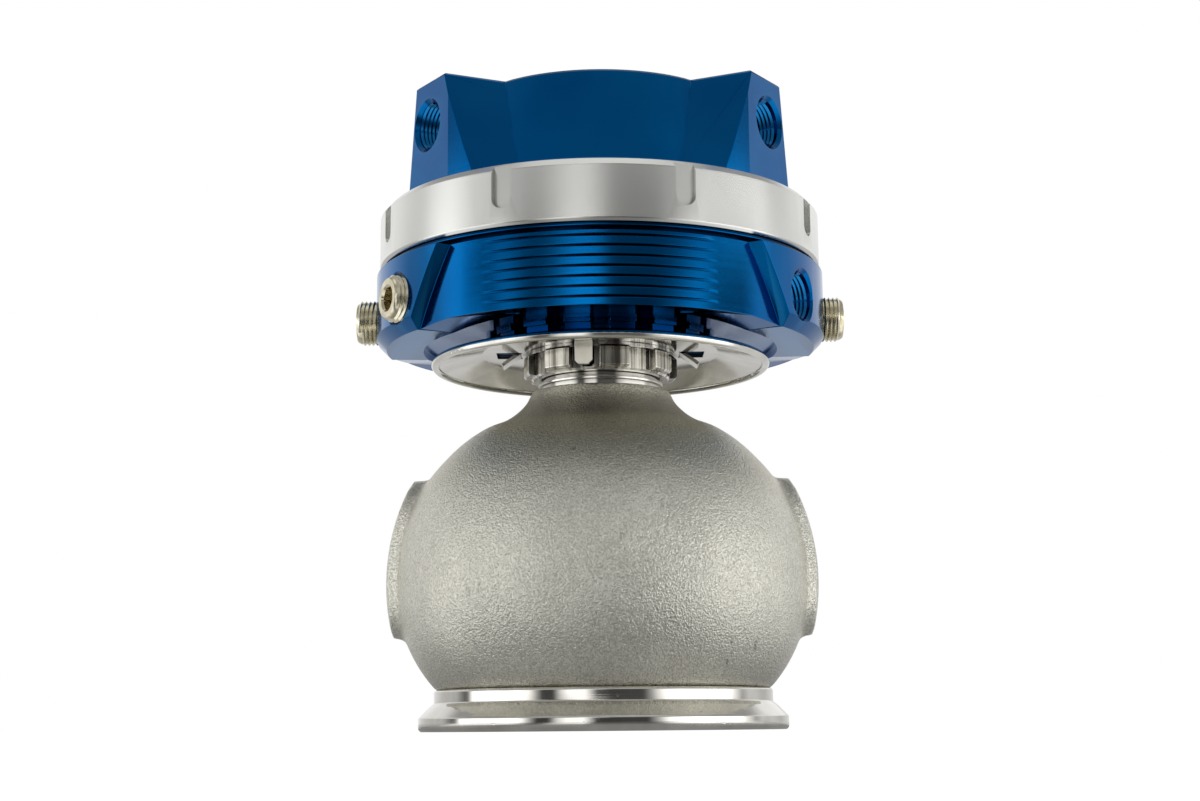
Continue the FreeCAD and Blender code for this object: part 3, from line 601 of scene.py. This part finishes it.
def thread_ridge(name, radius, turns, finish, place):
    """Wind one thread and put it in its place."""
    piece = new_piece(name, bpy.data.meshes.new(name))
    wind = piece.modifiers.new("wind", "NODES")
    wind.node_group = THREAD_TREE
    sizes = {"Radius": radius, "Pitch": THREAD_PITCH, "Turns": turns, "Depth": THREAD_DEPTH,
             "Finish": MATERIALS[finish]}
    for item in THREAD_TREE.interface.items_tree:
        if item.in_out == "INPUT":
            wind[item.identifier] = sizes[item.name]
    applied(piece)
    piece.data.transform(place)
    work = bmesh.new()
    work.from_mesh(piece.data)
    bmesh.ops.recalc_face_normals(work, faces=work.faces)
    work.to_mesh(piece.data)
    work.free()
    return piece


def along(heading_deg, reach, height):
    """Place whose +Z runs outwards on a heading from the front, starting at reach."""
    a = math.radians(heading_deg)
    out = Vector((math.sin(a), -math.cos(a), 0.0))
    turn = out.to_track_quat("Z", "X").to_matrix().to_4x4()
    return Matrix.Translation(out * reach + Vector((0, 0, height))) @ turn


# Pieces

INLET_NECK_R, INLET_BORE_R = 37.6 * MM, 31.6 * MM
OUTLET_NECK_R, OUTLET_BORE_R = 33.0 * MM, 28.0 * MM


def flange(name, outer, neck, bore, length):
    """Clamp flange about Z with soft edges and a shallow weld groove at its neck."""
    face_t, cone_t, edge, corner = 3.4 * MM, 2.2 * MM, 0.5 * MM, 0.22 * MM
    root_out, root_low, root_high = 1.1 * MM, 0.35 * MM, 0.5 * MM
    weld_low, weld_in = 0.45 * MM, 0.35 * MM
    profile = rounded([
        (bore, 0.0), (outer - edge, 0.0), (outer, edge), (outer, face_t - edge),
        (outer - edge, face_t), (neck + root_out, face_t + cone_t - root_low),
        (neck, face_t + cone_t + root_high), (neck, length - weld_low),
        (neck - weld_in, length), (bore, length)], corner, steps=3)
    return smooth(lathe(name, profile, steps=320))


def make_flanges():
    _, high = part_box("inlet_flange")
    piece = flange("inlet_flange_turned", high.x, INLET_NECK_R, INLET_BORE_R, high.z)
    dress(piece, "inlet_flange", "inlet_flange")
    low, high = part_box("outlet_flange")
    piece = flange("outlet_flange_turned", high.x, OUTLET_NECK_R, OUTLET_BORE_R, high.y - low.y)
    turn = Matrix.Rotation(math.radians(90), 4, "X")
    middle = (low.z + high.z) / 2
    piece.data.transform(Matrix.Translation((0.0, high.y, middle)) @ turn)
    dress(piece, "outlet_flange", "outlet_flange")


# The casting ends here, inside the foot of the spigot
SPIGOT_ROOT = 75.6 * MM


def make_body():
    """Cast body: the CAD form remeshed evenly, edges eased as a casting's are."""
    mesh = plain_mesh(cad_form("valve_body"), "valve_body_cast", keep_normals=False)
    piece = new_piece("valve_body_cast", mesh)
    remesh = piece.modifiers.new("even", "REMESH")
    remesh.mode = "VOXEL"
    remesh.voxel_size = 0.9 * MM
    ease = piece.modifiers.new("ease", "SMOOTH")
    ease.iterations = 4
    ease.factor = 0.5
    applied(piece)
    work = bmesh.new()
    work.from_mesh(piece.data)
    everything = work.verts[:] + work.edges[:] + work.faces[:]
    bmesh.ops.bisect_plane(work, geom=everything, plane_co=(0, 0, SPIGOT_ROOT),
                           plane_no=(0, 0, 1), clear_outer=True)
    rim = [e for e in work.edges if e.is_boundary]
    bmesh.ops.bridge_loops(work, edges=rim)
    work.to_mesh(piece.data)
    work.free()
    smooth(piece, angle=60.0)
    dress(piece, "valve_body", "valve_body")


def make_spigot():
    """Machined spigot on the neck: plain wall, bead, and the head that the collar hooks under."""
    bore, wall, bead, head = 8.0 * MM, 13.3 * MM, 14.2 * MM, 14.7 * MM
    foot, bead_low, bead_high = 75.0 * MM, 77.0 * MM, 77.7 * MM
    head_low, top, edge, corner = 80.4 * MM, 83.2 * MM, 0.4 * MM, 0.12 * MM
    profile = rounded([
        (bore, foot), (wall, foot), (wall, bead_low), (bead, bead_low), (bead, bead_high),
        (wall, bead_high), (wall, head_low), (head, head_low), (head, top - edge),
        (head - edge, top), (bore, top)], corner, steps=2)
    spigot = smooth(lathe("spigot_turned", profile, steps=192))
    dress(spigot, "valve_body", "valve_body", "machined_steel")


# CAD forms that stay, with their edges broken as the real ones are: width in mm, least angle of
# an edge in degrees, and the height in mm above which edges stay sharp
SOFTENED = (
    ("actuator_cap", 0.22, 15.0, math.inf),
    ("actuator_base", 0.12, 20.0, math.inf),
    ("lock_ring", 0.16, 25.0, 104.5),
    ("locking_collar", 0.14, 25.0, math.inf),
    ("heat_shield", 0.10, 30.0, math.inf))


def make_softened():
    for node, width, angle, top in SOFTENED:
        dress(softened(node, node + "_finished", width * MM, angle, top * MM), node, node)


# Ports and plugs, and how far a plug's crests stand in from the port's size
PORT_R = 5.2 * MM
PORT_DEPTH = 8.2 * MM
BASE_PORT_Z = 92.6 * MM
CAP_PORT_Z = 132.0 * MM
PLUG_FIT = 0.05 * MM

# Heading in degrees and reach of the outer face in mm
PLUGS = (
    ("left_front_plug", -60, 53.2),
    ("left_side_plug", -90, 55.5),
    ("right_side_plug", 90, 55.5))
OPEN_PORTS = (
    ("base_port_thread", "actuator_base", 60, 51.0, BASE_PORT_Z),
    ("cap_left_port_thread", "actuator_cap", -57, 45.0, CAP_PORT_Z),
    ("cap_right_port_thread", "actuator_cap", 57, 45.0, CAP_PORT_Z))


def hexagon_r(across, a):
    """Distance from the middle of a hexagon to its side at an angle."""
    return across / 2 / math.cos((a + math.pi / 6) % (math.pi / 3) - math.pi / 6)


def plug_core(name, core, length, chamfer):
    """Plug without its thread: a chamfered cylinder along Z with a hexagon socket in its top.

    A profile point without a radius lies on the hexagon.
    """
    across, deep, tip_deep, steps = 5.0 * MM, 4.6 * MM, 1.1 * MM, 96
    lead, edge_low = 0.45 * MM, 0.12 * MM
    mouth = across / 2 + lead + 0.05 * MM
    shoulder, rim = core - chamfer * 0.45, core - chamfer * 0.62
    profile = [(core, 0.0), (core, length - chamfer), (shoulder, length - edge_low),
               (rim, length), (mouth, length), (None, length - lead), (None, length - deep)]
    work = bmesh.new()
    rings = []
    for i in range(steps):
        a = 2 * math.pi * i / steps
        ring = []
        for r, z in profile:
            r = hexagon_r(across, a) if r is None else r
            ring.append(work.verts.new((r * math.cos(a), r * math.sin(a), z)))
        rings.append(ring)
    tip = work.verts.new((0, 0, length - deep - tip_deep))
    for i in range(steps):
        here, there = rings[i], rings[(i + 1) % steps]
        for k in range(len(profile) - 1):
            work.faces.new((here[k], there[k], there[k + 1], here[k + 1]))
        work.faces.new((here[-1], there[-1], tip))
    work.faces.new([r[0] for r in reversed(rings)])
    bmesh.ops.recalc_face_normals(work, faces=work.faces)
    mesh = bpy.data.meshes.new(name)
    work.to_mesh(mesh)
    work.free()
    return new_piece(name, mesh)


def make_plug(node, heading_deg, outer):
    """Threaded plug with a hexagon socket, its crests at the size of the CAD plug."""
    length, chamfer = 8.6 * MM, 0.75 * MM
    core = PORT_R - PLUG_FIT - THREAD_DEPTH
    place = along(heading_deg, outer - length, BASE_PORT_Z)
    piece = plug_core(node + "_core", core, length, chamfer)
    piece.data.transform(place)
    dress(smooth(piece, angle=30.0), node, node)
    turns = (length - chamfer) / THREAD_PITCH
    ridge = thread_ridge(node + "_thread", core, turns, "plug_nickel", place)
    dress(smooth(ridge, angle=40.0), node, node)


def make_port_thread(name, node, heading_deg, face_r, height):
    """Thread inside an open port, its crests standing in from the bore."""
    inner_end, both_ends = 0.3 * MM, 1.6 * MM
    turns = (PORT_DEPTH - both_ends) / THREAD_PITCH
    place = along(heading_deg, face_r - PORT_DEPTH + inner_end, height)
    ridge = thread_ridge(name, PORT_R, turns, "blue_anodised", place)
    dress(smooth(ridge, angle=40.0), node)


def make_threads():
    for node, heading_deg, outer in PLUGS:
        make_plug(node, heading_deg, outer * MM)
    for name, node, heading_deg, face_r, height in OPEN_PORTS:
        make_port_thread(name, node, heading_deg, face_r * MM, height)


make_flanges()
make_body()
make_spigot()
make_softened()
make_threads()


# Studio

# Brightness of the studio by heading from the camera side, in degrees: on the floor, level with
# the part, then in three bands above, which the blue wall, the ring and the sloping faces show
FLOOR = (
    (-180, 0.60), (-112, 0.55), (-102, 0.40), (-96, 1.25), (-58, 1.25), (-51, 0.95), (-43, 0.12),
    (-33, 0.12), (-27, 0.90), (-20, 1.15), (-11, 1.15), (-5, 0.10), (28, 0.12), (38, 0.80),
    (48, 1.20), (58, 1.35), (92, 1.35), (99, 0.75), (108, 0.60), (124, 0.66), (180, 0.60))
LEVEL = (
    (-180, 1.0), (-140, 0.68), (-116, 0.60), (-106, 0.15), (-102, 0.25), (-97, 1.95), (-58, 2.10),
    (-51, 1.60), (-45, 0.50), (-41, 0.06), (-33, 0.06), (-28, 0.95), (-22, 1.65), (-12, 1.60),
    (-8, 0.70), (-4, 0.05), (27, 0.06), (32, 0.40), (38, 1.15), (46, 1.90), (56, 2.50), (90, 2.55),
    (97, 1.30), (106, 0.45), (114, 0.72), (126, 0.66), (140, 0.55), (180, 0.9))
BASE_WALL = (
    (-180, 1.0), (-126, 0.92), (-112, 0.66), (-98, 0.85), (-88, 1.40), (-80, 1.65), (-77, 1.0),
    (-73, 0.10), (-66, 0.20), (-60, 1.15), (-54, 1.05), (-47, 0.45), (-41, 0.20), (-32, 0.20),
    (-26, 0.50), (-19, 1.30), (-13, 1.95), (-4, 1.95), (1, 1.25), (6, 0.30), (12, 0.14),
    (31, 0.13), (39, 0.20), (47, 0.45), (54, 0.95), (60, 1.45), (65, 1.0), (70, 0.12), (82, 0.06),
    (94, 1.05), (110, 0.90), (180, 1.0))
RING_WALL = (
    (-180, 1.0), (-126, 0.92), (-112, 0.78), (-101, 0.75), (-96, 1.50), (-84, 2.10), (-73, 2.20),
    (-66, 1.10), (-58, 0.40), (-50, 0.30), (-41, 0.30), (-28, 0.22), (-17, 0.15), (-8, 0.11),
    (2, 0.15), (16, 0.19), (34, 0.18), (46, 0.18), (54, 0.40), (62, 1.00), (70, 2.10), (80, 2.60),
    (90, 2.20), (98, 0.75), (110, 0.90), (124, 1.00), (180, 1.0))
RAISED = (
    (-180, 1.0), (-126, 0.90), (-114, 0.80), (-106, 0.52), (-98, 0.42), (-84, 0.55), (-68, 0.62),
    (-50, 0.55), (-28, 0.54), (0, 0.44), (32, 0.46), (62, 0.60), (84, 0.50), (98, 0.42),
    (110, 0.50), (117, 0.85), (128, 0.92), (180, 1.0))

# Brightness overhead, at the zenith, and of the even light on what doesn't mirror the room
TOP = 0.40
ZENITH = 0.85
AMBIENT = 0.55

# Brightness that a ramp's full scale stands for
PEAK = 3.0

AIM_HEIGHT = 70.0 * MM

# Where each band starts and where it is full, by the sine of the elevation
BASE_BAND = (0.150, 0.185)
RING_BAND = (0.246, 0.256)
RAISED_BAND = (0.271, 0.284)
TOP_BAND = (0.46, 0.62)
ZENITH_BAND = (0.86, 0.94)

# Floor in metres: close to the part it mirrors one dim brightness, a painted shadow of the part,
# and past these radii its pattern
FLOOR_HALF = 6.0
FLOOR_Z = -0.02 * MM
FLOOR_NEAR_SHADOW = 0.28
FLOOR_OPEN = (0.04, 0.16)
PAPER = (0.55, 0.55, 0.55)
PAPER_GLOW = 0.72

# Below this sine of the elevation the lowest band's pattern leans outwards, by this much more the
# lower it is, and only in front: it straightens between these shares of a turn to either side
LEAN_TOP = 0.247
LEAN_RATE = 4.3
LEAN_SIDES = (62 / 360, 80 / 360)


def turn_of(x, y):
    """Heading from the camera side as a share of a turn, 0.5 in front."""
    return x.math("ARCTAN2", y * -1.0) / (2 * math.pi) + 0.5


def studio_ramp(tree, heading, table):
    stops = [((a + 180) / 360, b / PEAK) for a, b in table]
    return add_node(tree, "ShaderNodeValToRGB", {"stops": stops}, {0: heading}) * PEAK


def floor_finish():
    """White paper for the camera, the studio's pattern in the metal with a painted shadow near the
    part, nothing from below.
    """
    s = Shader("studio_floor")
    camera, gloss = s.node("ShaderNodeLightPath", result=("Is Camera Ray", "Is Glossy Ray"))
    away = s.radius().ramp(*FLOOR_OPEN)
    x, y, _ = s.axes()
    # Painted shadow: near the part the floor shows only a dim glow in the metal
    shown = studio_ramp(s.tree, turn_of(x, y), FLOOR) * away + (1.0 - away) * FLOOR_NEAR_SHADOW
    sheen = s.either(shown / PEAK, s.glow(0.0), s.glow(PEAK))
    paper = s.node("ShaderNodeBsdfDiffuse", None, {"Color": PAPER})
    lit = s.node("ShaderNodeAddShader", None, {0: paper, 1: s.glow(camera * PAPER_GLOW)})
    behind = s.node("ShaderNodeNewGeometry", result="Backfacing")
    below = s.node("ShaderNodeBsdfTransparent")
    return s.cover(s.either(behind, s.either(gloss, lit, sheen), below))


def make_floor():
    work = bmesh.new()
    work.faces.new([work.verts.new((x * FLOOR_HALF, y * FLOOR_HALF, FLOOR_Z))
                    for x, y in ((-1, -1), (1, -1), (1, 1), (-1, 1))])
    mesh = bpy.data.meshes.new("studio_floor")
    work.to_mesh(mesh)
    work.free()
    mesh.materials.append(floor_finish())
    new_piece("studio_floor", mesh)


def make_world():
    """White behind the part for the camera; soft panels and a dim camera side for its metal."""
    world = bpy.data.worlds.new("studio")
    bpy.context.scene.world = world
    world.use_nodes = True
    tree = world.node_tree
    tree.nodes.clear()
    place = add_node(tree, "ShaderNodeTexCoord", result="Generated")
    x, y, z = add_node(tree, "ShaderNodeSeparateXYZ", None, {0: place}, ("X", "Y", "Z"))
    heading = turn_of(x, y)
    room = studio_ramp(tree, heading, LEVEL)
    aside = heading - 0.5
    front = 1.0 - aside.math("ABSOLUTE").ramp(*LEAN_SIDES)
    lean = (LEAN_TOP - z).clamp() * LEAN_RATE * front
    leaning = aside * (lean + 1.0) + 0.5
    for band, across, table in (
            (BASE_BAND, leaning, BASE_WALL),
            (RING_BAND, heading, RING_WALL),
            (RAISED_BAND, heading, RAISED)):
        lift = z.ramp(*band)
        room = room * (1.0 - lift) + studio_ramp(tree, across, table) * lift
    top = z.ramp(*TOP_BAND)
    room = room * (1.0 - top) + top * (z.ramp(*ZENITH_BAND) * (ZENITH - TOP) + TOP)
    camera, through, gloss = add_node(tree, "ShaderNodeLightPath", result=(
        "Is Camera Ray", "Is Transmission Ray", "Is Glossy Ray"))
    seen = camera.math("MAXIMUM", through)
    strength = seen + (1.0 - seen) * (gloss * room + (1.0 - gloss) * AMBIENT)
    back = add_node(tree, "ShaderNodeBackground", None, {
        "Color": (1.0, 1.0, 1.0), "Strength": strength})
    add_node(tree, "ShaderNodeOutputWorld", None, {"Surface": back}, ())


def softbox(name, heading_deg, height, distance, width, tall, watts):
    """Soft lamp on a heading, aimed at the middle of the part and unseen in it."""
    lamp = bpy.data.lights.new(name, "AREA")
    lamp.shape = "RECTANGLE"
    lamp.size = width
    lamp.size_y = tall
    lamp.energy = watts
    holder = bpy.data.objects.new(name, lamp)
    bpy.context.scene.collection.objects.link(holder)
    a = math.radians(heading_deg)
    spot = Vector((math.sin(a) * distance, -math.cos(a) * distance, height))
    aim = Vector((0.0, 0.0, AIM_HEIGHT)) - spot
    holder.rotation_euler = aim.to_track_quat("-Z", "Y").to_euler()
    holder.location = spot
    holder.visible_camera = False
    holder.visible_glossy = False


def make_camera():
    data = bpy.data.cameras.new("photo_view")
    data.sensor_fit = "HORIZONTAL"
    data.sensor_width = SENSOR_WIDTH
    data.lens = VIEW_LENS
    data.clip_start = 0.01
    camera = bpy.data.objects.new("photo_view", data)
    bpy.context.scene.collection.objects.link(camera)
    spot = Matrix.Translation((VIEW_SIDE, -VIEW_DISTANCE, VIEW_HEIGHT))
    tilt = Matrix.Rotation(math.radians(90) + VIEW_PITCH, 4, "X")
    roll = Matrix.Rotation(-VIEW_ROLL, 4, "Z")
    camera.matrix_world = spot @ tilt @ roll
    bpy.context.scene.camera = camera


make_floor()
make_world()
softbox("left_softbox", -88, height=0.30, distance=1.2, width=0.7, tall=0.9, watts=1.6)
softbox("right_softbox", 82, height=0.30, distance=1.2, width=0.7, tall=0.9, watts=1.8)
softbox("top_softbox", 180, height=1.2, distance=0.30, width=0.8, tall=0.8, watts=1.2)
make_camera()
bpy.context.scene.view_settings.view_transform = "Standard"
